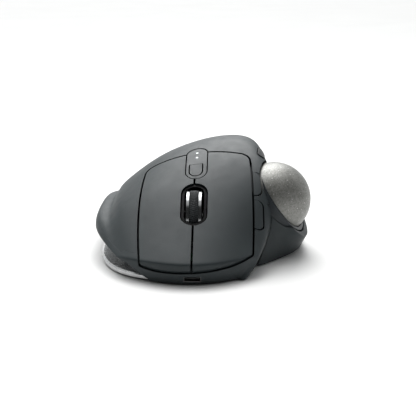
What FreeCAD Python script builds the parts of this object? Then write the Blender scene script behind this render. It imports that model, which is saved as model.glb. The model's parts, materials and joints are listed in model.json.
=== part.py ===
import FreeCAD, Part
import math
import os

os.makedirs("parts", exist_ok=True)
V = FreeCAD.Vector

# ---------------------------------------------------------------- sizes (mm)
LENGTH = 132.5
WIDTH = 99.8
HEIGHT = 50.0

WALL = 2.1
BUTTON_GAP = 0.9
SMALL_GAP = 0.5
HAIR_GAP = 0.14
SEAM_Z = 5.6
FRONT_SEAM_Z = 11.6
FRONT_SEAM_Y = -52.0

PAD_THICK = 0.9
PLATE_THICK = 2.0
PLATE_GAP = 0.2
PLATE_SIDE_GAP = 0.8
TILT_ANGLE = 20.0
RIDGE_X = -21.0

BALL_R = 17.0
BALL_GAP = 0.5
CUP_THICK = 1.5
RIM_OUT = 5.8
POD_OUT = 3.8
POD_LEAN = 0.12
BEAD_R = 1.25

WHEEL_R = 11.3
WHEEL_RISE = 3.0
WHEEL_W = 6.6
TREAD_W = 4.2
SLOT_L = 23.4
SLOT_W = 11.0
BEZEL_W = 1.1
WHEEL_X = -3.3

PILL_L = 22.7
PILL_W = 9.4
PILL_X = -2.9
PILL_T = 20.1

FLOOR = 2.0

PLATE_TOP = PAD_THICK + PLATE_THICK
BELLY_Z = PLATE_TOP + PLATE_GAP
FLOOR_TOP = BELLY_Z + FLOOR
HEM_Z = 0.6

# ---------------------------------------------------------------- helpers


def save(name, shape):
    """Write one named piece to its own file."""
    shape.exportStep("parts/" + name + ".step")


def clean(shape):
    """Keep real solids only and drop slivers."""
    solids = [s for s in shape.Solids if s.Volume > 0.05]
    if len(solids) == 1:
        return solids[0]
    return Part.makeCompound(solids)


def largest(shape):
    """The biggest solid of a boolean result."""
    return max(shape.Solids, key=lambda s: s.Volume)


def box(x0, x1, y0, y1, z0, z1):
    return Part.makeBox(x1 - x0, y1 - y0, z1 - z0, V(x0, y0, z0))


def rod(radius, start, end):
    direction = end.sub(start)
    return Part.makeCylinder(radius, direction.Length, start, direction)


def knots_for(count):
    """Clamped, evenly spaced knots of a cubic row with this many poles."""
    inner = count - 4
    multiplicity = [4] + [1] * inner + [4]
    return list(range(inner + 2)), multiplicity


def closed_curve(points):
    """A smooth closed cubic curve guided by the points."""
    curve = Part.BSplineCurve()
    count = len(points)
    curve.buildFromPolesMultsKnots(points, [1] * (count + 1), list(range(count + 1)), True, 3)
    return Part.Wire([curve.toShape()])


# ---------------------------------------------------------------- shell form
# Each row runs across the mouse from the little-finger edge, over the wing,
# up to the crest and down the thumb wall: lower edge, under-wing, wing tip,
# wing valley, shoulder, three crest points, thumb-side crest, upper wall,
# middle wall, lower wall and lower edge.
Z0 = HEM_Z
SHELL_ROWS = [
    (-64.0, 1.0, [(-31, Z0), (-30, Z0), (-28, Z0), (-24, Z0), (-20, Z0), (-12, Z0), (-3, Z0),
                  (6, Z0), (11, Z0), (14, Z0), (15.0, Z0), (15.6, Z0), (16.0, Z0)]),
    (-66.3, 1.0, [(-33, Z0), (-34.5, 2.2), (-35, 3.2), (-30, 3.2), (-24, 3.2), (-13, 3.0), (-3, 3.0),
                  (7, 3.0), (13, 3.2), (16.5, 3.4), (18.5, 3.4), (18.5, 2.5), (17.6, Z0)]),
    (-67.0, 1.0, [(-36.5, Z0), (-38.5, 4.0), (-39.5, 8.0), (-34, 9.3), (-26, 9.8), (-14, 9.8), (-3, 9.8),
                  (8, 9.8), (19, 9.8), (24.5, 9.8), (26, 8.3), (22.6, 4.6), (19.4, Z0)]),
    (-60.5, 0.95, [(-39.5, Z0), (-43, 5.0), (-44.5, 10.0), (-38, 13), (-28.5, 14), (-15, 14.5), (-3, 14.5),
                   (9, 15), (21, 15.5), (27.5, 15), (29.6, 12.5), (25.8, 7), (21.6, Z0)]),
    (-47.0, 0.6, [(-41, Z0), (-46, 6), (-47.8, 12), (-41.5, 17.3), (-31, 20.5), (-17, 23), (-3, 24),
                  (10, 25), (22.5, 26), (29, 25), (32, 20), (28.9, 10), (24.4, Z0)]),
    (-30.0, 0.25, [(-42.5, Z0), (-48.0, 7), (-50.6, 14.5), (-43.2, 20.6), (-34, 26.8), (-19, 33.3), (-3, 35.6),
                   (11, 37.3), (23.8, 38.7), (33.4, 37.6), (34.2, 26), (31.5, 12), (28, Z0)]),
    (-12.0, 0.0, [(-44, Z0), (-49.5, 7.5), (-51.7, 15.8), (-44.6, 21), (-37, 28), (-21, 38.7), (-4, 44),
                  (10, 46.4), (21.3, 47), (29.3, 44.4), (33.4, 33), (31.5, 13), (28, Z0)]),
    (6.0, 0.0, [(-44, Z0), (-49.5, 8), (-51.4, 16.2), (-44.8, 21), (-38, 28.2), (-22, 41), (-4, 47.8),
                (9, 50.6), (20.0, 51.6), (27.6, 48.2), (29.9, 34), (29.5, 14), (28, Z0)]),
    (23.0, 0.0, [(-42, Z0), (-48.5, 8), (-50.4, 16.5), (-44, 20.8), (-36, 28), (-21, 39.4), (-4, 46.2),
                 (8, 48.8), (17.5, 49.0), (25, 45.5), (27.3, 33), (27.5, 14), (26, Z0)]),
    (39.0, -0.25, [(-38, Z0), (-45, 7.5), (-48, 14.5), (-41, 18.5), (-32.5, 24), (-18.5, 33.5), (-4, 39),
                   (6, 41), (14, 40.5), (20.5, 37), (24, 27.5), (24.5, 12.5), (23, Z0)]),
    (53.0, -0.6, [(-32, Z0), (-37.5, 6), (-39.5, 12), (-34.5, 16), (-27.5, 20), (-16, 25.5), (-4, 29),
                  (5, 30), (12.5, 29), (17.5, 26), (20.5, 20), (21, 10.5), (20, Z0)]),
    (62.5, -0.9, [(-26, Z0), (-30, 5), (-31.5, 9.5), (-27, 12.5), (-22, 15), (-13, 17.5), (-4, 19),
                  (4, 19), (10.5, 18), (15, 16), (17.5, 12.5), (18, 7.5), (17, Z0)]),
    (67.7, -1.0, [(-22, Z0), (-25, 3.5), (-26, 6), (-22.5, 7.5), (-18, 8.5), (-11, 9.5), (-4, 10),
                  (3, 10), (8.5, 9.5), (12.5, 8.5), (14.5, 6.5), (15, 4), (15, Z0)]),
    (65.7, -1.0, [(-20, Z0), (-19, Z0), (-18, Z0), (-16, Z0), (-13, Z0), (-9, Z0), (-4, Z0),
                  (1, Z0), (5, Z0), (8, Z0), (10, Z0), (11.5, Z0), (12.5, Z0)]),
]
BOW_LEFT = 15.0
BOW_RIGHT = 13.0
BOW_CENTRE = -5.0
NET_LENGTH = 132.5
NET_WIDTH = 99.8
NET_HEIGHT = 50.0


# The valley between the wing and the hump is this deep on each row, and the
# nose is drawn in by extra rows this near the row above the front band.
VALLEY = [0, 0, 0, 0.8, 2.0, 2.6, 2.8, 2.8, 2.2, 1.4, 0.6, 0.2, 0, 0]
NOSE_ROW = 2
NOSE_NEAR = 0.22


def between(a, b, share):
    return a.add(b.sub(a).multiply(share))


def with_valley(line, depth):
    """The row with its valley deepened, and one more point on each side of it."""
    wing, valley, shoulder = line[2], line[3], line[4]
    across = shoulder.sub(wing)
    away = V(-across.z, 0, across.x)
    away.normalize()
    sunk = valley.sub(away.multiply(depth))
    brim = between(wing, valley, 0.5).add(V(0, 0, 0.25 * depth))
    return line[:3] + [brim, sunk, between(valley, shoulder, 0.38)] + line[4:]


def shell_net():
    """The guide points of the outer skin, bowed in plan at front and rear."""
    net = []
    for (y, bow, row), depth in zip(SHELL_ROWS, VALLEY):
        line = []
        for x, z in row:
            reach = BOW_LEFT if x > BOW_CENTRE else BOW_RIGHT
            bowed = y + bow * reach * ((x - BOW_CENTRE) / 30.0) ** 2
            high = Z0 + (z - Z0) * (HEIGHT - Z0) / (NET_HEIGHT - Z0)
            line.append(V(x * WIDTH / NET_WIDTH, bowed * LENGTH / NET_LENGTH, high))
        net.append(with_valley(line, depth))
    return net


def with_nose(net):
    """The net with one more row close on each side of the nose."""
    below, nose, above = net[NOSE_ROW - 1:NOSE_ROW + 2]
    low = [between(a, b, NOSE_NEAR) for a, b in zip(nose, below)]
    high = [between(a, b, NOSE_NEAR) for a, b in zip(nose, above)]
    return net[:NOSE_ROW] + [low, nose, high] + net[NOSE_ROW + 1:]


def moved_net(net, distance, floor):
    """The net pushed inward (or outward) along its own normals, cut at floor."""
    rows = len(net)
    cols = len(net[0])
    result = []
    for i in range(rows):
        line = []
        for j in range(cols):
            along = net[min(i + 1, rows - 1)][j].sub(net[max(i - 1, 0)][j])
            across = net[i][min(j + 1, cols - 1)].sub(net[i][max(j - 1, 0)])
            normal = across.cross(along)
            edge = i in (0, rows - 1) or j in (0, cols - 1)
            if edge:
                normal.z = 0.0
            if normal.Length < 1e-6:
                normal = V(0, -1 if i < rows / 2 else 1, 0)
            normal.normalize()
            point = net[i][j].sub(normal.multiply(distance))
            if edge:
                point.z = floor
            if j in (0, cols - 1) and i > 0:
                # Round a tight corner the moved points must not double back.
                step = net[i][j].sub(net[i - 1][j])
                if point.sub(result[i - 1][j]).dot(step) < 0:
                    point = result[i - 1][j].add(step.multiply(0.2))
                    point.z = floor
            line.append(point)
        result.append(line)
    return result


def skin_solid(net):
    """A closed solid from one smooth skin and a flat bottom."""
    surface = Part.BSplineSurface()
    rows = len(net)
    cols = len(net[0])
    vknots, vmult = knots_for(rows)
    uknots, umult = knots_for(cols)
    surface.buildFromPolesMultsKnots(net, vmult, umult, vknots, uknots, False, False, 3, 3)
    face = surface.toShape()
    base = Part.Face(Part.Wire(Part.__sortEdges__(face.Edges)))
    shell = Part.makeShell([face, base])
    solid = Part.makeSolid(shell)
    if solid.Volume < 0:
        solid.reverse()
    return solid


def skin_at(depth, floor):
    """The skin moved inward by depth (outward when negative), down to floor."""
    return skin_solid(with_nose(moved_net(shell_net(), depth, floor)))



KX = WIDTH / NET_WIDTH
KY = LENGTH / NET_LENGTH
KZ = (HEIGHT - Z0) / (NET_HEIGHT - Z0)


def at(x, y, z):
    """A place on the form, moving with the overall sizes."""
    return V(x * KX, y * KY, Z0 + (z - Z0) * KZ)


def skin_z(x, y):
    """Height of the outer skin above a place in plan."""
    line = Part.makeLine(V(x, y, Z0 + 0.5), V(x, y, HEIGHT + 20))
    return line.common(outer).BoundBox.ZMax


def skin_point(place, out):
    """Where a line through a place, along out, leaves the outer skin."""
    line = Part.makeLine(place.sub(out * 20), place.add(out * 20))
    ends = [v.Point for v in line.common(outer).Vertexes]
    return max(ends, key=lambda p: p.dot(out))


# Button outlines are drawn on a plane leaning back by 45 degrees, so that
# one straight cut serves both the long top slope and the short front band.
LEAN = math.sqrt(0.5)
LEAN_PLACE = FreeCAD.Placement(V(0, 0, 0), FreeCAD.Rotation(V(1, 0, 0), 45))


def leaned(x, y, z):
    """A place on the form, as a point of the leaning drawing plane."""
    p = at(x, y, z)
    return V(p.x, (p.y + p.z) * LEAN, 0)


def leaning_prism(face):
    """A long straight cutter through the upper skin from a drawn outline."""
    prism = face.extrude(V(0, 0, 150))
    prism.Placement = LEAN_PLACE
    return prism


def rounded(face, radius, grow=0.0):
    """The outline with rounded corners, grown or shrunk by grow."""
    small = face.makeOffset2D(-radius)
    return small.makeOffset2D(radius + grow)


def stadium(x, t, length, width):
    """A flat outline with two round ends, long in the second direction."""
    r = width / 2.0
    straight = max(length - width, 0.01) / 2.0
    a = V(x - r, t - straight, 0)
    b = V(x - r, t + straight, 0)
    c = V(x + r, t + straight, 0)
    d = V(x + r, t - straight, 0)
    top = Part.Arc(b, V(x, t + straight + r, 0), c).toShape()
    bottom = Part.Arc(d, V(x, t - straight - r, 0), a).toShape()
    left = Part.makeLine(a, b)
    right = Part.makeLine(c, d)
    return Part.Face(Part.Wire([left, top, right, bottom]))


# ---------------------------------------------------------------- skins
outer = skin_solid(with_nose(shell_net()))
hollow = skin_at(WALL, HEM_Z - 1.0)
grown = skin_at(-0.15, HEM_Z - 1.0)
lining = skin_at(WALL + 0.4, HEM_Z - 1.0)

wedge = Part.makeBox(120, 300, 60, V(-120, -150, -60))
wedge.rotate(V(0, 0, 0), V(0, 1, 0), TILT_ANGLE)
wedge.translate(V(RIDGE_X * KX, 0, BELLY_Z))
inner_wedge = wedge.copy()
inner_wedge.translate(V(0, 0, FLOOR / math.cos(math.radians(TILT_ANGLE))))

PLATE_POLES = [(-47, -10), (-46.5, -26), (-42.5, -42), (-33, -55), (-18, -61), (-3, -60.8), (10, -56),
               (20.5, -44), (26, -25), (28, 0), (26, 25), (20, 45), (8, 58), (-8, 61), (-24, 54),
               (-37, 38), (-45, 16)]


def plate_shape(grow, z0, z1):
    """The base outline, grown or shrunk, as a slab."""
    count = len(PLATE_POLES)
    points = []
    for k in range(count):
        here = at(PLATE_POLES[k][0], PLATE_POLES[k][1], Z0)
        before = at(PLATE_POLES[k - 1][0], PLATE_POLES[k - 1][1], Z0)
        after = at(PLATE_POLES[(k + 1) % count][0], PLATE_POLES[(k + 1) % count][1], Z0)
        along = after.sub(before)
        away = V(-along.y, along.x, 0)
        away.normalize()
        if away.dot(here) < 0:
            away = away.multiply(-1)
        points.append(V(here.x + away.x * grow, here.y + away.y * grow, z0))
    return Part.Face(closed_curve(points)).extrude(V(0, 0, z1 - z0))


pocket = plate_shape(PLATE_SIDE_GAP, -1.0, BELLY_Z)
# Outside the base plate the skirt runs out along the ridge in a gentler slope.
LIP_LENGTH = 9.5
lip_x = RIDGE_X * KX
lip_rise = LIP_LENGTH * math.tan(math.radians(TILT_ANGLE))
lip_corners = [V(lip_x + 0.3, -120, HEM_Z - 0.1), V(lip_x + 0.3, -120, BELLY_Z + 0.2),
               V(lip_x - LIP_LENGTH, -120, BELLY_Z + lip_rise + 0.2), V(lip_x - LIP_LENGTH, -120, BELLY_Z + lip_rise)]
lip = Part.Face(Part.makePolygon(lip_corners + [lip_corners[0]])).extrude(V(0, 240, 0))
lip = lip.cut(plate_shape(PLATE_SIDE_GAP, -2.0, 20.0))
under_cut = pocket.fuse(wedge.cut(lip))
cavity = hollow.cut(box(-100, 100, -100, 100, -5, FLOOR_TOP)).cut(inner_wedge)

# ---------------------------------------------------------------- ball frame
BALL = at(32.9, -14.0, 25.3)
OUT = V(0.870, -0.176, 0.460)
OUT.normalize()
REAR = V(0, 0, 1).cross(OUT)
REAR.normalize()
DOWN = OUT.cross(REAR)
if DOWN.z > 0:
    DOWN = DOWN.multiply(-1)


def by_ball(out, rear, down):
    """A place given from the ball centre along its three directions."""
    return BALL.add(OUT * out).add(REAR * rear).add(DOWN * down)


CUP_IN = BALL_R + BALL_GAP
CUP_OUT = CUP_IN + CUP_THICK
RIM = [(0, 3.5), (30, 4.0), (60, 5.4), (90, 6.3), (120, 4.6), (150, 1.9), (180, 1.4), (210, 1.5),
       (240, 1.0), (270, 1.0), (300, 1.5), (330, 2.5)]
FOOT = [(30, 44), (41, 28), (46.5, 11), (48.0, -4), (43, -18), (35, -27.5), (28.5, -36), (20, -43),
        (8, -35), (6, -10), (8, 15), (18, 45)]


def pod_solid(inset, z):
    """The ball housing: a loft from the tilted rim down to its footprint."""
    rim = []
    for angle, extra in RIM:
        radius = BALL_R + extra - inset
        a = math.radians(angle)
        rim.append(by_ball(POD_OUT + POD_LEAN * radius * math.sin(a) - inset, radius * math.cos(a), radius * math.sin(a)))
    foot = []
    centre = at(28, 0, z)
    for x, y in FOOT:
        p = at(x, y, z)
        away = p.sub(centre)
        away.normalize()
        p = p.sub(away.multiply(inset))
        p.z = z
        foot.append(p)
    return Part.makeLoft([closed_curve(rim), closed_curve(foot)], True, True)


pod = pod_solid(0.0, Z0)

# ---------------------------------------------------------------- ball seat
cup_ball = Part.makeSphere(CUP_OUT + 0.15, BALL)
mouth = rod(CUP_OUT + 0.15, BALL, by_ball(60, 0, 0))
seat_cut = cup_ball.fuse(mouth)
poke_hole = rod(5.0, V(BALL.x, BALL.y, -5), V(BALL.x, BALL.y, BALL.z))
# Above the ball's middle the shell itself closes round the ball, and the seat
# stays behind it.
HUG_GAP = 0.8
ball_clear = Part.makeSphere(BALL_R + HUG_GAP, BALL).fuse(rod(BALL_R + HUG_GAP, BALL, by_ball(60, 0, 0)))


def above_ball(level):
    """Everything higher than a level measured down from the ball's middle."""
    block = box(-90, 90, -90, 90, -90, level)
    block.Placement = FreeCAD.Placement(BALL, FreeCAD.Rotation(V(0, 0, 1), DOWN))
    return block


seat_low = seat_cut.cut(above_ball(-2.0))



def cup_solid():
    """The round seat, turned about the line that points out of its mouth."""
    inner_mouth = math.sqrt(CUP_IN ** 2 - RIM_OUT ** 2)
    outer_mouth = math.sqrt(CUP_OUT ** 2 - RIM_OUT ** 2)
    corners = [V(inner_mouth, 0, RIM_OUT), V(outer_mouth, 0, RIM_OUT), V(0, 0, -CUP_OUT), V(0, 0, -CUP_IN)]
    mid = LEAN
    outer_arc = Part.Arc(corners[1], V(CUP_OUT * mid, 0, -CUP_OUT * mid), corners[2]).toShape()
    inner_arc = Part.Arc(corners[3], V(CUP_IN * mid, 0, -CUP_IN * mid), corners[0]).toShape()
    edges = [Part.makeLine(corners[0], corners[1]), outer_arc, Part.makeLine(corners[2], corners[3]), inner_arc]
    turned = Part.Face(Part.Wire(edges)).revolve(V(0, 0, 0), V(0, 0, 1), 360)
    turned.Placement = FreeCAD.Placement(BALL, FreeCAD.Rotation(V(0, 0, 1), OUT))
    return turned


cup = cup_solid().common(outer.fuse(pod)).cut(poke_hole)

bead_solids = []
for turn in (90, 210, 330):
    a = math.radians(turn)
    polar = math.radians(58)
    inward = by_ball(-math.cos(polar), math.sin(polar) * math.cos(a), math.sin(polar) * math.sin(a)).sub(BALL)
    place = BALL.add(inward * (BALL_R + BEAD_R + 0.05))
    bead_solids.append(Part.makeSphere(BEAD_R, place))
    cup = cup.cut(rod(BEAD_R + 0.02, BALL.add(inward * 15.0), BALL.add(inward * 21.0)))
beads = Part.makeCompound(bead_solids)
window_dir = by_ball(-30, 0, 0)
window_cut = rod(3.0, BALL, window_dir)
lens_near = by_ball(-CUP_IN - 0.1, 0, 0)
lens_far = by_ball(-CUP_OUT, 0, 0)
sensor_lens = rod(2.9, lens_near, lens_far)
sensor = Part.makeBox(9, 9, 4, V(-4.5, -4.5, 0))
sensor.Placement = FreeCAD.Placement(by_ball(-CUP_OUT - 0.1, 0, 0), FreeCAD.Rotation(V(0, 0, 1), OUT * -1))
cup = cup.cut(window_cut)
# The ball is a hollow-looking pair: an inner core and the outer shell that
# turns on it about a second axis, standing for free rolling.
CORE_R = 9.0
core = Part.makeSphere(CORE_R, BALL)
ball = Part.makeSphere(BALL_R, BALL).cut(Part.makeSphere(CORE_R + 0.05, BALL))
save("bearing_beads", beads)
save("sensor_lens", sensor_lens)
save("ball_sensor", sensor)
save("ball_core", core)
save("ball_shell", ball)

# ---------------------------------------------------------------- base
pad = plate_shape(-1.2, 0.0, PAD_THICK)
plate = plate_shape(0.0, PAD_THICK, PLATE_TOP)
rim_edges = [e for e in plate.Edges if abs(e.CenterOfMass.z - PLATE_TOP) < 1e-3]
plate = plate.makeChamfer(0.6, rim_edges)
save("base_pad", pad)
save("base_plate", plate)

# ---------------------------------------------------------------- outlines
panel_corners = [leaned(-26.0, -60.4, 8.0), leaned(-4.0, -66.4, 6.8), leaned(22.7, -53.8, 10.9),
                 leaned(22.9, -36.8, 27.8), leaned(21.4, -13.5, 46.0), leaned(0.0, -7.3, 46.0),
                 leaned(-26.9, -3.4, 37.0), leaned(-28.1, -34.1, 25.3)]
panel_edges = []
for k in range(0, 8, 2):
    ends = (panel_corners[k], panel_corners[k + 1], panel_corners[(k + 2) % 8])
    panel_edges.append(Part.Arc(*ends).toShape())
panel_face = Part.Face(Part.Wire(panel_edges))

TOP_CORNER = 5.5
LOW_CORNER = 1.3
HALF = BUTTON_GAP / 2.0


def panel_prism(grow):
    """The button panel's cutter: wide corners at the rear, tight ones in front."""
    prisms = []
    for radius, low, high in ((TOP_CORNER, 0, 200), (LOW_CORNER, -200, 0)):
        face = rounded(panel_face, radius, grow)
        part = face.common(Part.makePlane(400, 200, V(-200, low, 0))).Faces[0]
        prisms.append(leaning_prism(part))
    return prisms[0].fuse(prisms[1]).removeSplitter()


panel_piece = panel_prism(-HALF)
panel_hole = panel_prism(HALF)

slot_mid = leaned(WHEEL_X, -38.7, 29.1)
slot_face = stadium(slot_mid.x, slot_mid.y, SLOT_L, SLOT_W)
slot_hole = stadium(slot_mid.x, slot_mid.y, SLOT_L + 2 * SMALL_GAP, SLOT_W + 2 * SMALL_GAP)
wheel_hole = stadium(slot_mid.x, slot_mid.y, SLOT_L - 2 * BEZEL_W, SLOT_W - 2 * BEZEL_W)
pill_mid = leaned(PILL_X, -13.5, 41.9)
pill_face = stadium(pill_mid.x, pill_mid.y, PILL_L, PILL_W)
pill_hole = stadium(pill_mid.x, pill_mid.y, PILL_L + 2 * SMALL_GAP, PILL_W + 2 * SMALL_GAP)


def tab_face(corners, radius):
    """A side-button outline, before the panel's own gap is taken off."""
    points = [leaned(*c) for c in corners]
    wire = Part.makePolygon(points + [points[0]])
    return rounded(Part.Face(wire), radius)


TAB_CORNER = 3.0
back_face = tab_face([(19.0, -32.2, 30.9), (26.6, -31.6, 30.9), (26.0, -22.0, 39.0), (19.0, -22.0, 39.0)],
                     TAB_CORNER)
forward_face = tab_face([(19.0, -44.2, 19.9), (27.3, -43.0, 19.2), (27.0, -33.4, 28.9), (19.0, -33.4, 28.9)],
                        TAB_CORNER)


def tab_hole(face):
    """Room for a side button: a hairline behind it and a wide gap round its tip."""
    tight = face.makeOffset2D(HAIR_GAP)
    hole = leaning_prism(tight)
    for dx, dt in ((BUTTON_GAP / 2, 0), (BUTTON_GAP / 2, -BUTTON_GAP / 2), (0, -BUTTON_GAP / 2)):
        moved = tight.copy()
        moved.translate(V(dx, dt, 0))
        hole = hole.fuse(leaning_prism(moved))
    return hole


back_hole = tab_hole(back_face)
forward_hole = tab_hole(forward_face)

# ---------------------------------------------------------------- upper skin
top_skin = outer.cut(cavity)
seam_wedge = wedge.copy()
seam_wedge.translate(V(0, 0, SEAM_Z - BELLY_Z))
bottom_slab = box(-100, 100, -100, 100, -5, SEAM_Z).fuse(seam_wedge)
bottom_slab = bottom_slab.fuse(box(-100, 100, -100, FRONT_SEAM_Y * KY, -5, FRONT_SEAM_Z))
top_cover = top_skin.cut(bottom_slab)
for opening in (panel_hole, leaning_prism(pill_hole), back_hole, forward_hole):
    top_cover = top_cover.cut(opening)
top_cover = top_cover.cut(under_cut).cut(seat_low).cut(ball_clear)
top_cover = largest(top_cover)

COVER_POSTS = [(-34.0, -30.0), (-36.0, 12.0), (14.5, 40.0), (-17.5, 42.0)]
SCREW_R = 1.1
SCREW_HEAD_R = 2.3
BOSS_R = 3.0


def belly_over(x):
    """Highest underside level beneath a screw head centred at x."""
    rise = max(0.0, RIDGE_X * KX - x + SCREW_HEAD_R) * math.tan(math.radians(TILT_ANGLE))
    return BELLY_Z + rise


for x, y in COVER_POSTS:
    p = at(x, y, 0)
    low = belly_over(p.x) + FLOOR + 1.3
    post = rod(BOSS_R, V(p.x, p.y, low), V(p.x, p.y, HEIGHT + 10)).common(outer)
    post = post.cut(rod(SCREW_R, V(p.x, p.y, 0), V(p.x, p.y, low + 6)))
    top_cover = top_cover.fuse(post)

# ---------------------------------------------------------------- buttons
BUTTON_TOE_Z = 5.0
button_skin = outer.cut(hollow).cut(box(-100, 100, -100, 0, -5, BUTTON_TOE_Z))
PIN_Y = -15.0
PIN_Z = 31.0
PIN_R = 1.2
PIN_FIT = 0.05
pin_mid = at(0, PIN_Y, PIN_Z)
split_x = -3.5 * KX
panel_solid = button_skin.common(panel_piece)
panel_solid = panel_solid.cut(leaning_prism(slot_hole)).cut(leaning_prism(pill_hole))
panel_solid = panel_solid.cut(box(split_x - HALF, split_x + HALF, -100, 100, -10, 100))
left_half = largest(panel_solid.common(box(-100, split_x, -100, 100, -10, 100)))
right_half = largest(panel_solid.common(box(split_x, 100, -100, 100, -10, 100)))


def eared(half, xs, switch_x):
    """A button with its two hinge ears and the rib that presses its switch."""
    result = half
    for x in xs:
        cx = x * KX
        ear = box(cx - 1.0, cx + 1.0, pin_mid.y - 2.4, pin_mid.y + 2.0, pin_mid.z - 2.2, 90)
        ear = ear.common(lining_top)
        hole = rod(PIN_R + PIN_FIT, V(-60, pin_mid.y, pin_mid.z), V(60, pin_mid.y, pin_mid.z))
        result = result.fuse(ear.common(outer).cut(hole))
    p = at(switch_x, SWITCH_Y, 0)
    rib = rod(1.4, V(p.x, p.y, SWITCH_TOP + RIB_GAP), V(p.x, p.y, HEIGHT)).common(lining_top)
    return largest(result.fuse(rib))


BOARD_Z = 7.8
BOARD_T = 1.2
SWITCH_Y = -44.0
SWITCH_H = 5.0
SWITCH_TOP = BOARD_Z + BOARD_T + SWITCH_H
RIB_GAP = 0.75
lining_top = skin_at(0.8, HEM_Z - 1.0)
left_button = eared(left_half, (-19.0, -10.5), -15.0)
right_button = eared(right_half, (3.5, 12.0), 11.0)
back_button = largest(button_skin.common(leaning_prism(back_face)).cut(panel_hole))
forward_button = largest(button_skin.common(leaning_prism(forward_face)).cut(panel_hole))
# The ball and its seat sit close under the thumb-side buttons: the buttons
# are scooped to clear the ball, and the seat stops short of them.
scoop = Part.makeSphere(BALL_R + 0.9, BALL)
right_button = largest(right_button.cut(scoop))
back_button = largest(back_button.cut(scoop))
forward_button = largest(forward_button.cut(scoop))
deep_skin = outer.cut(skin_at(WALL + 1.0, HEM_Z - 1.0))
for opening in (panel_hole, back_hole, forward_hole, above_ball(-1.5)):
    cup = cup.cut(deep_skin.common(opening))
cup = largest(cup)
save("left_button", left_button)
save("right_button", right_button)
save("back_button", back_button)
save("forward_button", forward_button)
button_pin = rod(PIN_R, V(-21.5 * KX, pin_mid.y, pin_mid.z), V(13.8 * KX, pin_mid.y, pin_mid.z))
save("button_pin", button_pin)

# ---------------------------------------------------------------- host plate
pill_solid = button_skin.common(leaning_prism(pill_face))
pill_solid = largest(pill_solid)
pill_solid.translate(V(0, 0.05, -0.15))
host_mid = leaned(-3.1, -16.5, 40.7)
host_face = stadium(host_mid.x, host_mid.y - 1.6, 9.6, 5.6)
host_clip = box(-50, 50, host_mid.y - 30, host_mid.y + 1.4, -1, 1)
host_face = host_face.common(host_clip).Faces[0]
host_top = host_mid.y + 1.4 + HAIR_GAP
host_hole = host_face.makeOffset2D(SMALL_GAP).common(box(-50, 50, host_mid.y - 30, host_top, -1, 1)).Faces[0]
host_button = largest(pill_solid.common(leaning_prism(host_face)))
switch_plate = pill_solid.cut(leaning_prism(host_hole))
light_solids = []
for place in ((-2.9, -5.9, 45.0), (-2.9, -9.9, 43.6)):
    spot = leaned(*place)
    dot = Part.Face(Part.Wire(Part.makeCircle(0.55, V(spot.x, spot.y, 0))))
    dot_hole = Part.Face(Part.Wire(Part.makeCircle(0.56, V(spot.x, spot.y, 0))))
    light_solids.append(largest(pill_solid.common(leaning_prism(dot))))
    switch_plate = switch_plate.cut(leaning_prism(dot_hole))
switch_plate = largest(switch_plate)
leg_a = at(PILL_X, -2.4, 0)
leg = rod(0.9, V(leg_a.x, leg_a.y, FLOOR_TOP), V(leg_a.x, leg_a.y, HEIGHT))
leg = leg.common(lining_top)
switch_plate = largest(switch_plate.fuse(leg))
save("switch_plate", switch_plate)
save("host_button", host_button)
save("host_lights", Part.makeCompound(light_solids))

spot = leaned(-2.5, 0.5, 46.4)
dot = Part.Face(Part.Wire(Part.makeCircle(0.5, V(spot.x, spot.y, 0))))
battery_light = largest(button_skin.common(leaning_prism(dot)))
dot = Part.Face(Part.Wire(Part.makeCircle(0.51, V(spot.x, spot.y, 0))))
top_cover = top_cover.cut(leaning_prism(dot).cut(bottom_slab).cut(box(-50, 50, 10 * KY, 100, 0, 40 * KZ)))
save("battery_light", battery_light)

# ---------------------------------------------------------------- precision
PRECISION_OUT = V(0.74, -0.12, 0.66)
PRECISION_OUT.normalize()
precision_mid = skin_point(at(25.5, -5.5, 43.6), PRECISION_OUT)
precision_place = FreeCAD.Placement(precision_mid, FreeCAD.Rotation(V(0, 0, 1), PRECISION_OUT))
PRECISION_L = 10.0
PRECISION_W = 4.0
PRECISION_RISE = 0.45


def flank_prism(length, width, low, high):
    """A stadium-shaped block standing square to the thumb-side flank."""
    block = stadium(0, 0, length, width).extrude(V(0, 0, high - low))
    block.Placement = precision_place.multiply(FreeCAD.Placement(V(0, 0, low), FreeCAD.Rotation()))
    return block


raised = skin_at(-PRECISION_RISE, HEM_Z - 1.0)
precision_button = raised.cut(hollow).cut(ball_clear)
precision_button = largest(precision_button.common(flank_prism(PRECISION_L, PRECISION_W, -3.4, 4.0)))
cup = largest(cup.cut(flank_prism(PRECISION_L + 1.4, PRECISION_W + 1.4, -4.4, 8.0)))
save("ball_cup", cup)
top_cover = top_cover.cut(flank_prism(PRECISION_L + 0.7, PRECISION_W + 0.7, -4.4, 6.0))
light_spot = rod(0.6, precision_mid.add(V(-0.3, 8.2, 0.0)).add(PRECISION_OUT * -3.0),
                 precision_mid.add(V(-0.3, 8.2, 0.0)).add(PRECISION_OUT * 4.0))
light_hole = rod(0.61, precision_mid.add(V(-0.3, 8.2, 0.0)).add(PRECISION_OUT * -4.0),
                 precision_mid.add(V(-0.3, 8.2, 0.0)).add(PRECISION_OUT * 4.0))
precision_light = largest(button_skin.common(light_spot))
top_cover = largest(top_cover.cut(light_hole))
save("precision_button", precision_button)
save("precision_light", precision_light)
save("top_cover", top_cover)

# ---------------------------------------------------------------- housing
pod_room = pod_solid(WALL, FLOOR_TOP)
housing = pod.cut(pod_room).cut(grown).cut(seat_cut).cut(under_cut).cut(poke_hole)
housing = largest(housing)
save("ball_housing", housing)

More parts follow.
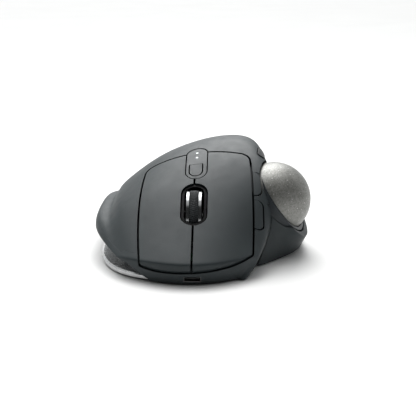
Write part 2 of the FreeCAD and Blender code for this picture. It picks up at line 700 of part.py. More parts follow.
# ---------------------------------------------------------------- wheel
surface = V(WHEEL_X * KX, at(0, -38.7, 0).y, 0)
surface.z = skin_z(surface.x, surface.y)
SLOPE_Y = -0.55
SLOPE_Z = 0.835
sink = WHEEL_R - WHEEL_RISE
hub = V(surface.x, surface.y - SLOPE_Y * sink, surface.z - SLOPE_Z * sink)
AXLE_R = 1.2
AXLE_FIT = 0.05
HALF_W = WHEEL_W / 2.0
HALF_TREAD = TREAD_W / 2.0
TREAD_DEEP = 2.0


def disc(radius, x0, x1, centre=None):
    c = centre if centre else hub
    return rod(radius, V(c.x + x0, c.y, c.z), V(c.x + x1, c.y, c.z))


tyre = disc(WHEEL_R, -HALF_TREAD, HALF_TREAD).cut(disc(WHEEL_R - TREAD_DEEP, -HALF_W, HALF_W))
rims = disc(WHEEL_R - 0.15, -HALF_W, HALF_W).cut(disc(WHEEL_R - TREAD_DEEP, -HALF_W, HALF_W))
rims = rims.cut(disc(WHEEL_R + 1, -HALF_TREAD, HALF_TREAD))
web = disc(WHEEL_R - TREAD_DEEP, -HALF_W, HALF_W)
web = web.cut(disc(WHEEL_R - 3.6, -HALF_W - 1, -0.8)).cut(disc(WHEEL_R - 3.6, 0.8, HALF_W + 1))
web = web.fuse(disc(2.4, -HALF_W, HALF_W)).cut(disc(AXLE_R, -HALF_W - 1, HALF_W + 1))
for k in range(6):
    a = math.radians(60 * k)
    spot = V(hub.x, hub.y + 5.4 * math.cos(a), hub.z + 5.4 * math.sin(a))
    web = web.cut(disc(1.7, -HALF_W, HALF_W, spot))
CHEEK_IN = HALF_W + 0.45
CHEEK_T = 1.0
CHEEK_OUT = CHEEK_IN + CHEEK_T
axle = disc(AXLE_R, -CHEEK_OUT - 0.5, CHEEK_OUT + 0.5)
save("wheel_tyre", tyre)
save("wheel_rims", rims)
save("wheel_hub", web)
save("wheel_axle", axle)

CRADLE_BASE = hub.z - WHEEL_R - 1.4
CRADLE_T = 1.0
cradle = box(hub.x - CHEEK_OUT, hub.x + CHEEK_OUT, hub.y - 7, hub.y + 7, CRADLE_BASE - CRADLE_T, CRADLE_BASE)
for side in (-1, 1):
    near = hub.x + side * CHEEK_IN
    far = hub.x + side * CHEEK_OUT
    cheek = box(min(near, far), max(near, far), hub.y - 3.5, hub.y + 3.5, CRADLE_BASE, hub.z + 2.8)
    cradle = cradle.fuse(cheek)
cradle = cradle.cut(disc(AXLE_R + AXLE_FIT, -20, 20))
TRUNNION_R = 1.0
TRUNNION_Z = CRADLE_BASE - CRADLE_T / 2.0
for side in (-1, 1):
    trunnion = rod(TRUNNION_R, V(hub.x, hub.y + side * 6.0, TRUNNION_Z), V(hub.x, hub.y + side * 9.6, TRUNNION_Z))
    cradle = cradle.fuse(trunnion)
save("wheel_cradle", cradle)

YOKE_IN = 7.5
YOKE_OUT = 9.6
YOKE_W = 3.0
yoke_z0 = TRUNNION_Z - 2.2
carriage = None
for side in (-1, 1):
    ya = hub.y + side * YOKE_IN
    yb = hub.y + side * YOKE_OUT
    block = box(hub.x - YOKE_W, hub.x + YOKE_W, min(ya, yb), max(ya, yb), yoke_z0, TRUNNION_Z + 2.0)
    carriage = block if carriage is None else carriage.fuse(block)
rail = box(hub.x + 6.0, hub.x + 7.2, hub.y - YOKE_OUT, hub.y + YOKE_OUT, yoke_z0, yoke_z0 + 1.6)
for side in (-1, 1):
    ya = hub.y + side * YOKE_IN
    yb = hub.y + side * YOKE_OUT
    arm = box(hub.x - 7.2, hub.x + 7.2, min(ya, yb), max(ya, yb), yoke_z0, yoke_z0 + 1.6)
    carriage = carriage.fuse(arm)
carriage = carriage.fuse(rail)
left_rail = box(hub.x - 7.2, hub.x - 6.0, hub.y - YOKE_OUT, hub.y + YOKE_OUT, yoke_z0, yoke_z0 + 1.6)
carriage = carriage.fuse(left_rail)
carriage = carriage.cut(rod(TRUNNION_R + AXLE_FIT, V(hub.x, hub.y - 20, TRUNNION_Z), V(hub.x, hub.y + 20, TRUNNION_Z)))
save("wheel_carriage", carriage)

bezel = outer.cut(hollow).common(leaning_prism(slot_face)).cut(leaning_prism(wheel_hole))
bezel = largest(bezel)
bezel.translate(V(0, 0.6, -0.6))
for side in (-1, 1):
    foot_x = hub.x + side * 4.75
    foot_y = surface.y - 6.5
    bezel = bezel.fuse(rod(0.45, V(foot_x, foot_y, FLOOR_TOP), V(foot_x, foot_y, HEIGHT)).common(lining))
bezel = largest(bezel.cut(disc(WHEEL_R + 0.6, -HALF_W - 0.6, HALF_W + 0.6)))
save("wheel_bezel", bezel)

# ---------------------------------------------------------------- inside
board = box(-20 * KX, 16 * KX, at(0, -55, 0).y, at(0, 8, 0).y, BOARD_Z, BOARD_Z + BOARD_T)
window = box(hub.x - 8.2, hub.x + 8.2, hub.y - 12.5, hub.y + 12.5, 0, 20)
board = board.cut(window)
POST_XS = (-14.5, 7.5)
for x in POST_XS:
    board = board.cut(box(x * KX - 1.7, x * KX + 1.7, pin_mid.y - 3.2, pin_mid.y + 3.2, 0, 20))
board = board.cut(rod(1.7, V(leg_a.x, leg_a.y, 0), V(leg_a.x, leg_a.y, 20)))
BOARD_POSTS = [(-17.0, -30.0), (13.0, -30.0), (-17.0, 4.0), (13.0, 4.0)]
for x, y in BOARD_POSTS:
    p = at(x, y, 0)
    board = board.cut(rod(0.9, V(p.x, p.y, 0), V(p.x, p.y, 20)))
save("main_board", board)
chips = [box(-16, -8, -8, 0, BOARD_Z + BOARD_T, BOARD_Z + BOARD_T + 1.2),
         box(6, 11, -6, -1, BOARD_Z + BOARD_T, BOARD_Z + BOARD_T + 1.0)]
save("board_chips", Part.makeCompound(chips))

switches = []
for x in (-15.0, 11.0):
    p = at(x, SWITCH_Y, 0)
    body = box(p.x - 2.9, p.x + 2.9, p.y - 6.4, p.y + 6.4, BOARD_Z + BOARD_T, SWITCH_TOP - 0.6)
    switches.append(body.fuse(box(p.x - 0.8, p.x + 0.8, p.y - 1.2, p.y + 1.2, SWITCH_TOP - 0.7, SWITCH_TOP)))
save("click_switches", Part.makeCompound(switches))
encoder = box(hub.x - CHEEK_OUT - 6.0, hub.x - CHEEK_OUT - 1.5, hub.y - 3, hub.y + 3, hub.z - 3.5, hub.z + 3.5)
encoder_arm = box(hub.x - CHEEK_OUT - 6.0, hub.x - CHEEK_OUT - 4.0, hub.y - 2, hub.y + 2, BOARD_Z + BOARD_T, hub.z)
encoder = encoder.fuse(encoder_arm)
save("wheel_encoder", encoder)

battery = box(-13 * KX, 9.5 * KX, at(0, 14, 0).y, at(0, 43, 0).y, FLOOR_TOP + 1.6, FLOOR_TOP + 8.0)
soft = [e for e in battery.Edges if abs(e.CenterOfMass.z - (FLOOR_TOP + 4.8)) < 1e-3]
battery = battery.makeFillet(2.0, soft)
save("battery", battery)
ribbon = box(-4, 4, at(0, 8, 0).y + 0.2, at(0, 14, 0).y - 0.2, BOARD_Z, BOARD_Z + 0.4)
save("battery_leads", ribbon)

USB_Z = 3.0
USB_W = 7.6
USB_H = 2.5
USB_X = -3.2
USB_Y0 = at(0, -64.5, 0).y
USB_Y1 = at(0, -61.2, 0).y
usb_outer = box(USB_X - USB_W / 2, USB_X + USB_W / 2, USB_Y0, USB_Y1, USB_Z - USB_H / 2, USB_Z + USB_H / 2)
usb_inner = box(USB_X - USB_W / 2 + 0.4, USB_X + USB_W / 2 - 0.4, USB_Y0 - 1, USB_Y1 - 0.5,
                USB_Z - USB_H / 2 + 0.4, USB_Z + USB_H / 2 - 0.4)
usb_port = usb_outer.cut(usb_inner)
usb_tongue = box(USB_X - 2.6, USB_X + 2.6, USB_Y0 + 0.6, USB_Y1 - 0.5, USB_Z - 0.1, USB_Z + 0.5)
save("usb_port", usb_port)
save("usb_tongue", usb_tongue)

# ---------------------------------------------------------------- lower case
lower = top_skin.common(bottom_slab).cut(under_cut).cut(seat_cut)
lower = lower.cut(deep_skin.common(panel_hole).common(box(-100, 100, -100, 0, USB_Z + USB_H / 2 + 0.05, 100)))
lower = lower.cut(box(USB_X - USB_W / 2, USB_X + USB_W / 2, USB_Y0 - 20, USB_Y1, USB_Z - USB_H / 2, USB_Z + USB_H / 2))
lower = largest(lower)
for x in POST_XS:
    post = box(x * KX - 1.3, x * KX + 1.3, pin_mid.y - 2.6, pin_mid.y + 2.6, FLOOR_TOP - 0.5, pin_mid.z + 2.4)
    lower = lower.fuse(post)
lower = lower.cut(rod(PIN_R, V(-60, pin_mid.y, pin_mid.z), V(60, pin_mid.y, pin_mid.z)))
for x, y in BOARD_POSTS:
    p = at(x, y, 0)
    lower = lower.fuse(rod(1.8, V(p.x, p.y, FLOOR_TOP - 0.5), V(p.x, p.y, BOARD_Z)))
    lower = lower.cut(rod(0.7, V(p.x, p.y, FLOOR_TOP), V(p.x, p.y, BOARD_Z + 1)))
screws = []
board_screws = []
for x, y in BOARD_POSTS:
    p = at(x, y, 0)
    screw = rod(0.7, V(p.x, p.y, FLOOR_TOP + 0.3), V(p.x, p.y, BOARD_Z + BOARD_T))
    screw = screw.fuse(rod(1.5, V(p.x, p.y, BOARD_Z + BOARD_T), V(p.x, p.y, BOARD_Z + BOARD_T + 0.9)))
    board_screws.append(screw)
for x, y in COVER_POSTS:
    p = at(x, y, 0)
    low = belly_over(p.x)
    lower = lower.fuse(rod(BOSS_R, V(p.x, p.y, low + 0.5), V(p.x, p.y, low + FLOOR + 1.2)))
    lower = lower.cut(rod(SCREW_R, V(p.x, p.y, 0), V(p.x, p.y, 30)))
    lower = lower.cut(rod(SCREW_HEAD_R, V(p.x, p.y, 0), V(p.x, p.y, low + 1.2)))
    screw = rod(SCREW_R, V(p.x, p.y, low + 0.3), V(p.x, p.y, low + FLOOR + 6))
    screw = screw.fuse(rod(SCREW_HEAD_R - 0.1, V(p.x, p.y, low + 0.3), V(p.x, p.y, low + 1.2)))
    screws.append(screw)
MAGNET_SPOTS = [(-14.0, -49.0), (8.0, -50.0), (-15.5, 30.0), (18.0, 12.0)]
MAGNET_R = 4.0
MAGNET_T = 1.5
magnets = []
for x, y in MAGNET_SPOTS:
    p = at(x, y, 0)
    lower = lower.cut(rod(MAGNET_R, V(p.x, p.y, FLOOR_TOP - MAGNET_T), V(p.x, p.y, FLOOR_TOP + 0.4)))
    magnets.append(rod(MAGNET_R, V(p.x, p.y, FLOOR_TOP - MAGNET_T), V(p.x, p.y, FLOOR_TOP)))
save("magnets", Part.makeCompound(magnets))
save("case_screws", Part.makeCompound(screws))
save("board_screws", Part.makeCompound(board_screws))

SLIDER_TRAVEL = 3.0
slide_mid = at(4.0, 51.5, 0)
lower = lower.cut(box(slide_mid.x - 2.0, slide_mid.x + 2.0 + SLIDER_TRAVEL, slide_mid.y - 1.6, slide_mid.y + 1.6, 0, 8))
slider = box(slide_mid.x - 1.6, slide_mid.x + 1.6, slide_mid.y - 1.2, slide_mid.y + 1.2, BELLY_Z + 0.2, FLOOR_TOP + 0.2)
slider = slider.fuse(box(slide_mid.x - 2.6, slide_mid.x + 2.6, slide_mid.y - 2.2, slide_mid.y + 2.2,
                         FLOOR_TOP + 0.15, FLOOR_TOP + 1.1))
save("power_slider", slider)
PAIR_R = 1.8
pair_mid = at(-8.0, 51.5, 0)
lower = lower.cut(rod(PAIR_R + 0.35, V(pair_mid.x, pair_mid.y, 0), V(pair_mid.x, pair_mid.y, 8)))
pairing = rod(PAIR_R, V(pair_mid.x, pair_mid.y, BELLY_Z + 0.2), V(pair_mid.x, pair_mid.y, FLOOR_TOP + 0.6))
pairing = pairing.fuse(rod(PAIR_R + 1.2, V(pair_mid.x, pair_mid.y, FLOOR_TOP + 0.15), V(pair_mid.x, pair_mid.y, FLOOR_TOP + 0.9)))
save("pairing_button", pairing)
lower = largest(lower)
save("bottom_case", lower)
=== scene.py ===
import json
import math

import bpy
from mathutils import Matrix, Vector

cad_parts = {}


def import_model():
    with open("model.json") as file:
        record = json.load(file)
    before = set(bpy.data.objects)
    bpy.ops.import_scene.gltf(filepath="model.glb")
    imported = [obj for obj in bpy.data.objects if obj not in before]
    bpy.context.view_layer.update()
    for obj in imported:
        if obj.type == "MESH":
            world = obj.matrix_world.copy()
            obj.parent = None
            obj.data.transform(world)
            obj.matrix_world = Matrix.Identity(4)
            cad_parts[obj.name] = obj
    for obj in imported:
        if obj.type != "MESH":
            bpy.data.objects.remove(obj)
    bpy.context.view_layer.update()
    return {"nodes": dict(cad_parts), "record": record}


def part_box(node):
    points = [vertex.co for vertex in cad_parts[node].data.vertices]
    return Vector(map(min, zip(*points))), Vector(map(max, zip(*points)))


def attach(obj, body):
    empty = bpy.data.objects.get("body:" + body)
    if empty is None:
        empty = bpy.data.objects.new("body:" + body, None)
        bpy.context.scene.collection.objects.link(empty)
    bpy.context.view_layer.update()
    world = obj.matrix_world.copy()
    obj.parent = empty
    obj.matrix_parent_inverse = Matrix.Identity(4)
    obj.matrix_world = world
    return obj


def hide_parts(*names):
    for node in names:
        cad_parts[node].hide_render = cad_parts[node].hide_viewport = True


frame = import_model()
nodes = frame["nodes"]
scene = bpy.context.scene

MM = 0.001

SHELL_COLOUR = (0.027, 0.035, 0.038)
# Painted shade: the charging inlet's plating, darkened for the skirt's shade over it.
INLET_PAINTED_SHADE_COLOUR = (0.10, 0.10, 0.10)

# The camera's place, in degrees and metres, and its lens in millimetres.
CAMERA_RISE = 15.0
CAMERA_SWING = 1.5
CAMERA_REACH = 0.480
CAMERA_AIM = (0.0, -0.012, 0.022)
CAMERA_SENSOR = 36.0
CAMERA_LENS = 88.88
CAMERA_SHIFT = (0.0118, -0.0101)

FLOOR_HALF = 8.0
FLOOR_BLOTCH_MM = 90.0


# ---------------------------------------------------------------- node helpers
class Shade:
    """One procedural material, built from short calls that add and link nodes."""

    def __init__(self, name):
        self.material = bpy.data.materials.new(name)
        self.material.use_nodes = True
        self.tree = self.material.node_tree
        self.surface = self.tree.nodes["Principled BSDF"]
        self.place = self.add("ShaderNodeTexCoord").outputs["Object"]

    def add(self, kind, **settings):
        node = self.tree.nodes.new(kind)
        for key, value in settings.items():
            setattr(node, key, value)
        return node

    def feed(self, socket, value):
        """Links a socket to another node's output, or sets it to a plain value."""
        if isinstance(value, bpy.types.NodeSocket):
            self.tree.links.new(value, socket)
        else:
            socket.default_value = value

    def noise(self, size_mm, detail=2.0, rough=0.5, place=None, distort=0.0):
        """Smooth noise whose blotches are about size_mm across, from 0 to 1."""
        node = self.add("ShaderNodeTexNoise")
        self.feed(node.inputs["Vector"], place or self.place)
        self.feed(node.inputs["Scale"], 1.0 / (size_mm * MM))
        self.feed(node.inputs["Detail"], detail)
        self.feed(node.inputs["Roughness"], rough)
        self.feed(node.inputs["Distortion"], distort)
        return node.outputs["Fac"]

    def cells(self, size_mm):
        """Scattered cells about size_mm across, with a colour and a distance each."""
        node = self.add("ShaderNodeTexVoronoi", feature="F1")
        self.feed(node.inputs["Vector"], self.place)
        self.feed(node.inputs["Scale"], 1.0 / (size_mm * MM))
        return node

    def math(self, operation, a, b=0.0, clamp=False):
        node = self.add("ShaderNodeMath", operation=operation, use_clamp=clamp)
        self.feed(node.inputs[0], a)
        self.feed(node.inputs[1], b)
        return node.outputs[0]

    def span(self, value, low, high, to_low=0.0, to_high=1.0):
        """Maps low..high onto to_low..to_high, and holds the ends."""
        node = self.add("ShaderNodeMapRange")
        for key, number in (("Value", value), ("From Min", low), ("From Max", high),
                            ("To Min", to_low), ("To Max", to_high)):
            self.feed(node.inputs[key], number)
        return node.outputs["Result"]

    def mix(self, share, a, b):
        """Colour a where share is 0 and colour b where it is 1."""
        node = self.add("ShaderNodeMix", data_type="RGBA")
        self.feed(node.inputs["Factor"], share)
        self.feed(node.inputs["A"], (*a, 1.0) if isinstance(a, tuple) else a)
        self.feed(node.inputs["B"], (*b, 1.0) if isinstance(b, tuple) else b)
        return node.outputs["Result"]

    def edges(self, radius_mm):
        """How near a point is to a sharp edge, and the normal rounded over that edge."""
        bevel = self.add("ShaderNodeBevel", samples=6)
        self.feed(bevel.inputs["Radius"], radius_mm * MM)
        flat = self.add("ShaderNodeNewGeometry").outputs["Normal"]
        dot = self.add("ShaderNodeVectorMath", operation="DOT_PRODUCT")
        self.feed(dot.inputs[0], bevel.outputs["Normal"])
        self.feed(dot.inputs[1], flat)
        return self.span(dot.outputs["Value"], 0.99, 0.75), bevel.outputs["Normal"]

    def bump(self, height, depth_mm, normal=None, strength=1.0):
        node = self.add("ShaderNodeBump")
        self.feed(node.inputs["Strength"], strength)
        self.feed(node.inputs["Distance"], depth_mm * MM)
        self.feed(node.inputs["Height"], height)
        if normal is not None:
            self.feed(node.inputs["Normal"], normal)
        return node.outputs["Normal"]

    def finish(self, **sockets):
        """Fills the surface's sockets, with _ for each space, and gives the material."""
        for key, value in sockets.items():
            name = key.replace("_", " ")
            if name == "Base Color" and isinstance(value, tuple):
                value = (*value, 1.0)
            self.feed(self.surface.inputs[name], value)
        return self.material


def moulded(name, colour, rough=0.5, grain_mm=0.22, grain_depth=0.012, tone=0.10,
            wear=0.25, edge_mm=0.22, specular=0.32):
    """Moulded plastic: a fine spark-eroded grain, slow tone changes and rubbed edges."""
    s = Shade(name)
    grain = s.noise(grain_mm, 3.0, 0.6)
    slow = s.noise(14.0, 2.0)
    smudge = s.noise(5.0, 4.0, 0.6)
    near, rounded = s.edges(edge_mm)
    dark = tuple(c * (1.0 - tone) for c in colour)
    light = tuple(c * (1.0 + tone) for c in colour)
    rubbed = tuple(min(1.0, c * 1.35 + 0.003) for c in colour)
    base = s.mix(s.span(slow, 0.3, 0.7), dark, light)
    base = s.mix(s.span(grain, 0.35, 0.75, 0.0, 0.35), base, tuple(c * 0.8 for c in colour))
    base = s.mix(s.math("MULTIPLY", near, s.span(smudge, 0.4, 0.65, 0.15 * wear, wear)),
                 base, rubbed)
    gloss = s.math("ADD", s.span(smudge, 0.3, 0.7, rough - 0.05, rough + 0.05),
                   s.span(grain, 0.3, 0.7, -0.02, 0.03))
    gloss = s.math("SUBTRACT", gloss, s.math("MULTIPLY", near, 0.10 * wear), clamp=True)
    return s.finish(Base_Color=base, Roughness=gloss, Specular_IOR_Level=specular,
                    Normal=s.bump(grain, grain_depth, rounded, 0.6))


def glossy(name, colour, rough=0.12, coat=0.4, edge_mm=0.12, specular=0.5):
    """Polished plastic: faint orange peel and a little dust."""
    s = Shade(name)
    peel = s.noise(1.6, 1.0)
    dust = s.span(s.noise(0.35, 3.0, 0.7), 0.68, 0.78)
    near, rounded = s.edges(edge_mm)
    base = s.mix(s.span(s.noise(8.0), 0.3, 0.7), tuple(c * 0.85 for c in colour), colour)
    base = s.mix(s.math("MULTIPLY", dust, 0.12), base, (0.35, 0.35, 0.34))
    base = s.mix(s.math("MULTIPLY", near, 0.25), base,
                 tuple(min(1.0, c * 1.5 + 0.01) for c in colour))
    return s.finish(Base_Color=base, Coat_Weight=coat, Coat_Roughness=0.08,
                    Specular_IOR_Level=specular,
                    Roughness=s.math("ADD", s.span(peel, 0.3, 0.7, rough, rough + 0.06),
                                     s.math("MULTIPLY", dust, 0.25)),
                    Normal=s.bump(peel, 0.006, rounded, 0.5))


def metal(name, colour, rough=0.25, along=None, depth=0.004, edge_mm=0.12):
    """Plated or brushed metal. along stretches the brushing that way."""
    s = Shade(name)
    place = s.place
    if along is not None:
        scaled = s.add("ShaderNodeVectorMath", operation="MULTIPLY")
        s.feed(scaled.inputs[0], s.place)
        s.feed(scaled.inputs[1], along)
        place = scaled.outputs["Vector"]
    fine = s.noise(0.25, 3.0, 0.6, place)
    stain = s.noise(4.0, 3.0)
    near, rounded = s.edges(edge_mm)
    base = s.mix(s.span(stain, 0.3, 0.75), colour, tuple(c * 0.78 for c in colour))
    base = s.mix(s.math("MULTIPLY", near, 0.4), base,
                 tuple(min(1.0, c * 1.25) for c in colour))
    return s.finish(Base_Color=base, Metallic=1.0,
                    Roughness=s.math("ADD", s.span(fine, 0.3, 0.7, rough - 0.05, rough + 0.06),
                                     s.span(stain, 0.5, 0.8, 0.0, 0.08)),
                    Normal=s.bump(fine, depth, rounded, 0.5))


def pearl(name):
    """The ball's lacquer: grey pearl flakes of two sizes in a clouded pewter ground."""
    s = Shade(name)
    cloud = s.noise(5.5, 5.0, 0.62, distort=0.6)
    flakes = s.cells(0.42)
    sparks = s.cells(0.9)
    tone = s.add("ShaderNodeSeparateColor")
    s.feed(tone.inputs["Color"], flakes.outputs["Color"])
    spark = s.add("ShaderNodeSeparateColor")
    s.feed(spark.inputs["Color"], sparks.outputs["Color"])
    base = s.mix(s.span(cloud, 0.32, 0.68), (0.15, 0.15, 0.138), (0.25, 0.25, 0.235))
    base = s.mix(s.span(tone.outputs["Red"], 0.0, 1.0, 0.0, 0.35), base, (0.38, 0.38, 0.36))
    base = s.mix(s.span(tone.outputs["Green"], 0.72, 0.76, 0.0, 0.45), base, (0.11, 0.108, 0.10))
    glint = s.math("MULTIPLY", s.span(spark.outputs["Blue"], 0.86, 0.9),
                   s.span(sparks.outputs["Distance"], 0.32, 0.16))
    base = s.mix(s.math("MULTIPLY", glint, 0.7), base, (0.75, 0.745, 0.73))
    gloss = s.math("ADD", s.span(cloud, 0.3, 0.7, 0.40, 0.47),
                   s.span(tone.outputs["Blue"], 0.0, 1.0, -0.04, 0.07))
    return s.finish(Base_Color=base, Metallic=0.5, Roughness=gloss, Coat_Weight=0.12,
                    Coat_Roughness=0.12,
                    Normal=s.bump(tone.outputs["Red"], 0.012, strength=0.5))


def rubber(name, colour, rough=0.8, edge_mm=0.1):
    """Matt rubber: fine pores, a little dust and paler edges."""
    s = Shade(name)
    pore = s.noise(0.3, 4.0, 0.7)
    dust = s.noise(3.0, 3.0, 0.6)
    near, rounded = s.edges(edge_mm)
    base = s.mix(s.span(dust, 0.35, 0.7), colour, tuple(c * 1.5 + 0.004 for c in colour))
    base = s.mix(s.math("MULTIPLY", near, 0.35), base,
                 tuple(min(1.0, c * 2.2 + 0.01) for c in colour))
    return s.finish(Base_Color=base, Specular_IOR_Level=0.35,
                    Roughness=s.span(pore, 0.3, 0.7, rough - 0.08, rough + 0.06),
                    Normal=s.bump(pore, 0.02, rounded, 0.6))


def solder_mask(name):
    """Green board lacquer over copper tracks."""
    s = Shade(name)
    tracks = s.add("ShaderNodeTexBrick")
    s.feed(tracks.inputs["Vector"], s.place)
    s.feed(tracks.inputs["Scale"], 260.0)
    s.feed(tracks.inputs["Mortar Size"], 0.035)
    copper = s.span(tracks.outputs["Fac"], 0.0, 1.0)
    base = s.mix(s.span(s.noise(6.0), 0.3, 0.7), (0.012, 0.085, 0.035), (0.016, 0.11, 0.045))
    base = s.mix(s.math("MULTIPLY", copper, 0.5), base, (0.05, 0.2, 0.08))
    return s.finish(Base_Color=base, Roughness=s.span(s.noise(1.0), 0.3, 0.7, 0.3, 0.42),
                    Normal=s.bump(copper, 0.03))


def foil(name):
    """The battery's crinkled pouch."""
    s = Shade(name)
    crinkle = s.noise(3.0, 5.0, 0.65, distort=1.0)
    base = s.mix(s.span(crinkle, 0.3, 0.7), (0.50, 0.50, 0.52), (0.66, 0.66, 0.68))
    return s.finish(Base_Color=base, Metallic=0.85,
                    Roughness=s.span(crinkle, 0.3, 0.7, 0.28, 0.42),
                    Normal=s.bump(crinkle, 0.12))


def lamp(name, colour, glow):
    """A milky light pipe that glows a little, with a faint mottle in its tone."""
    s = Shade(name)
    milk = s.noise(0.6, 3.0)
    base = s.mix(s.span(milk, 0.3, 0.7), colour, tuple(min(1.0, c * 1.12) for c in colour))
    return s.finish(Base_Color=base, Emission_Color=base, Emission_Strength=glow,
                    Subsurface_Weight=0.2, Roughness=s.span(milk, 0.3, 0.7, 0.25, 0.35))


def clear_red(name):
    """A red-tinted clear window with a faint haze."""
    s = Shade(name)
    haze = s.noise(1.2, 3.0)
    base = s.mix(s.span(haze, 0.3, 0.7), (0.30, 0.012, 0.012), (0.42, 0.02, 0.02))
    return s.finish(Base_Color=base, Transmission_Weight=0.45, IOR=1.49,
                    Roughness=s.span(haze, 0.3, 0.7, 0.04, 0.1))


FINISHES = {
    "shell": moulded("soft_touch_shell", SHELL_COLOUR, rough=0.5),
    "pill": moulded("satin_plate", (0.024, 0.031, 0.034), rough=0.48, grain_mm=0.16,
                    grain_depth=0.008, wear=0.15),
    "cup": moulded("seat_plastic", (0.026, 0.032, 0.036), rough=0.42, grain_mm=0.2,
                   grain_depth=0.006, wear=0.12),
    "black": moulded("black_nylon", (0.012, 0.012, 0.012), rough=0.5),
    "black_button": moulded("black_cap", (0.016, 0.017, 0.018), rough=0.34, grain_mm=0.18,
                            grain_depth=0.006),
    "gloss": glossy("gloss_black", (0.004, 0.004, 0.0045), rough=0.55, coat=0.0, specular=0.08),
    "bead": glossy("ceramic_bead", (0.62, 0.11, 0.13), rough=0.06, coat=0.6),
    "ball": pearl("pearl_ball"),
    "steel": metal("plated_steel", (0.55, 0.55, 0.56), rough=0.3),
    "chrome": metal("chromed_rim", (0.30, 0.305, 0.31), rough=0.16, depth=0.001),
    "plate": metal("polished_plate", (0.66, 0.665, 0.67), rough=0.22,
                   along=(0.12, 1.0, 1.0), depth=0.002),
    "pad": rubber("pad_rubber", (0.018, 0.018, 0.019)),
    "tread": rubber("tread_rubber", (0.020, 0.023, 0.025), rough=0.55),
    "board": solder_mask("board_lacquer"),
    "cell": foil("pouch_foil"),
    "lead": glossy("lead_jacket", (0.36, 0.02, 0.016), rough=0.35, coat=0.1),
    "light": lamp("milky_light", (0.78, 0.81, 0.80), 0.55),
    "lens": clear_red("sensor_lens_red"),
}

slots = {part["node"]: part["material_slot"] for part in frame["record"]["subparts"]}
for name, node in nodes.items():
    node.data.materials.clear()
    node.data.materials.append(FINISHES[slots[name]])
# The charging inlet sits in the skirt's shade; its plating is painted much darker than the other
# plated parts, as painted shade.
nodes["usb_port"].data.materials[0] = metal("inlet_painted_shade", INLET_PAINTED_SHADE_COLOUR, rough=0.4)


# ---------------------------------------------------------------- mesh helpers
def middle(node):
    """The middle of a node's box."""
    low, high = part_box(node)
    return (low + high) / 2


def new_piece(name, points, faces, finish):
    """A smooth-shaded piece of its own mesh, in the finish of one material slot."""
    mesh = bpy.data.meshes.new(name)
    mesh.from_pydata([tuple(p) for p in points], [], faces)
    mesh.validate()
    mesh.update()
    for polygon in mesh.polygons:
        polygon.use_smooth = True
    mesh.materials.append(FINISHES[finish])
    piece = bpy.data.objects.new(name, mesh)
    scene.collection.objects.link(piece)
    return piece


def ring_faces(rings, across):
    """Quads between a closed row of rings that are each across points long."""
    faces = []
    for i in range(rings):
        for j in range(across):
            a = i * across + j
            b = i * across + (j + 1) % across
            c = ((i + 1) % rings) * across + (j + 1) % across
            d = ((i + 1) % rings) * across + j
            faces.append((a, b, c, d))
    return faces


# ---------------------------------------------------------------- wheel tread
TREAD_RIBS = 78
TREAD_STEPS = 10
TREAD_COLUMNS = 17
TREAD_DEPTH = 1.85 * MM
TREAD_CROWN = 0.16 * MM
TREAD_CLEARANCE = 0.01 * MM
BEAD_CHAMFER = 0.4 * MM
BEAD_WIDTH = 0.8
RIB_HEIGHT = 0.42 * MM
RIB_SWEEP = 0.75 * MM
RIB_CURVE = 1.3
RIB_STEEPNESS = 5
RIB_BIAS = 0.1
SHOULDER_START = 0.80


def tread():
    """The tyre with curved ribs moulded across it, a closed ring."""
    low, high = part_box("wheel_tyre")
    centre = middle("wheel_tyre")
    radius = (high.z - low.z) / 2 - TREAD_CLEARANCE
    half = (high.x - low.x) / 2
    inner = radius - TREAD_DEPTH
    points = []
    rings = TREAD_RIBS * TREAD_STEPS
    for i in range(rings):
        turn = 2 * math.pi * i / rings
        ring = []
        for j in range(TREAD_COLUMNS):
            side = 2 * j / (TREAD_COLUMNS - 1) - 1
            bow = RIB_SWEEP * abs(side) ** RIB_CURVE / radius
            wave = math.cos(TREAD_RIBS * (turn + bow))
            rib = 1 / (1 + math.exp(-RIB_STEEPNESS * (wave + RIB_BIAS)))
            shoulder = 1 - max(0.0, (abs(side) - SHOULDER_START) / (1 - SHOULDER_START)) ** 2
            crown = TREAD_CROWN * side * side
            r = radius - crown - RIB_HEIGHT * (1 - rib * shoulder)
            ring.append((half * side, r))
        ring += [(half, inner + BEAD_CHAMFER), (half * BEAD_WIDTH, inner),
                 (-half * BEAD_WIDTH, inner), (-half, inner + BEAD_CHAMFER)]
        for x, r in ring:
            points.append((centre.x + x, centre.y + r * math.sin(turn),
                           centre.z + r * math.cos(turn)))
    across = len(points) // rings
    piece = new_piece("ribbed_tread", points, ring_faces(rings, across), "tread")
    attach(piece, "wheel")
    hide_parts("wheel_tyre")


tread()


# ---------------------------------------------------------------- floor, light, camera
def floor():
    """A wide pale floor at the desk's level."""
    s = Shade("pale_floor")
    tone = s.noise(FLOOR_BLOTCH_MM, 3.0)
    s.finish(Base_Color=s.mix(s.span(tone, 0.3, 0.7), (0.80, 0.80, 0.795), (0.82, 0.82, 0.815)),
             Roughness=0.6, Specular_IOR_Level=0.2)
    points = [(-FLOOR_HALF, -FLOOR_HALF, 0), (FLOOR_HALF, -FLOOR_HALF, 0),
              (FLOOR_HALF, FLOOR_HALF, 0), (-FLOOR_HALF, FLOOR_HALF, 0)]
    mesh = bpy.data.meshes.new("floor")
    mesh.from_pydata(points, [], [(0, 1, 2, 3)])
    mesh.materials.append(s.material)
    piece = bpy.data.objects.new("floor", mesh)
    scene.collection.objects.link(piece)


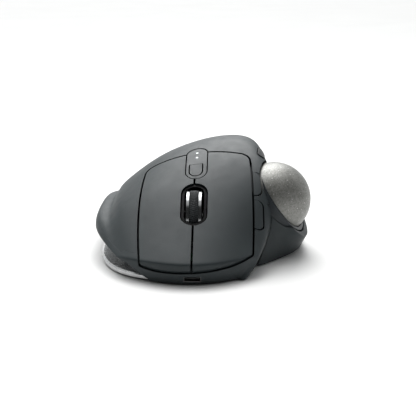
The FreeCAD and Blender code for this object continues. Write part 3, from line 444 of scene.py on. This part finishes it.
def world():
    """A bright room overhead and behind, dimmer on the camera's side."""
    w = bpy.data.worlds.new("studio")
    scene.world = w
    w.use_nodes = True
    tree = w.node_tree
    background = tree.nodes["Background"]
    place = tree.nodes.new("ShaderNodeTexCoord")
    split = tree.nodes.new("ShaderNodeSeparateXYZ")
    tree.links.new(place.outputs["Generated"], split.inputs[0])
    ramp = tree.nodes.new("ShaderNodeMapRange")
    tree.links.new(split.outputs["Y"], ramp.inputs["Value"])
    for key, number in (("From Min", -0.6), ("From Max", 0.8), ("To Min", 0.06), ("To Max", 0.80)):
        ramp.inputs[key].default_value = number
    tree.links.new(ramp.outputs["Result"], background.inputs["Strength"])
    background.inputs["Color"].default_value = (0.98, 1.0, 1.0, 1.0)


def add_light(name, kind, facing):
    """A new light in the scene that shines along facing."""
    data = bpy.data.lights.new(name, kind)
    light = bpy.data.objects.new(name, data)
    light.rotation_euler = Vector(facing).to_track_quat("-Z", "Y").to_euler()
    scene.collection.objects.link(light)
    return light


def area(name, place, size, power):
    """A square panel that faces the origin."""
    light = add_light(name, "AREA", -Vector(place))
    light.location = place
    light.data.shape = "SQUARE"
    light.data.size = size
    light.data.energy = power


def sun(name, direction, strength, angle):
    """Parallel light along direction, blurred as by a disc angle degrees wide."""
    light = add_light(name, "SUN", direction)
    light.data.energy = strength
    light.data.angle = math.radians(angle)


def camera():
    """The photographer's place: in front of the mouse, a little above the desk."""
    rise = math.radians(CAMERA_RISE)
    swing = math.radians(CAMERA_SWING)
    aim = Vector(CAMERA_AIM)
    back = Vector((math.sin(swing) * math.cos(rise), -math.cos(swing) * math.cos(rise),
                   math.sin(rise)))
    data = bpy.data.cameras.new("camera")
    data.sensor_width = CAMERA_SENSOR
    data.lens = CAMERA_LENS
    data.shift_x, data.shift_y = CAMERA_SHIFT
    data.clip_start = 0.01
    data.clip_end = 50.0
    eye = bpy.data.objects.new("camera", data)
    eye.location = aim + back * CAMERA_REACH
    eye.rotation_euler = (-back).to_track_quat("-Z", "Y").to_euler()
    scene.collection.objects.link(eye)
    scene.camera = eye


floor()
world()
sun("overhead", (0.06, -0.25, -1.0), 1.0, 80)
sun("rear_key", (0.10, -1.05, -1.0), 1.7, 42)
area("softbox", (-0.10, 0.22, 0.66), 0.5, 3.0)
camera()
scene.view_settings.view_transform = "Standard"
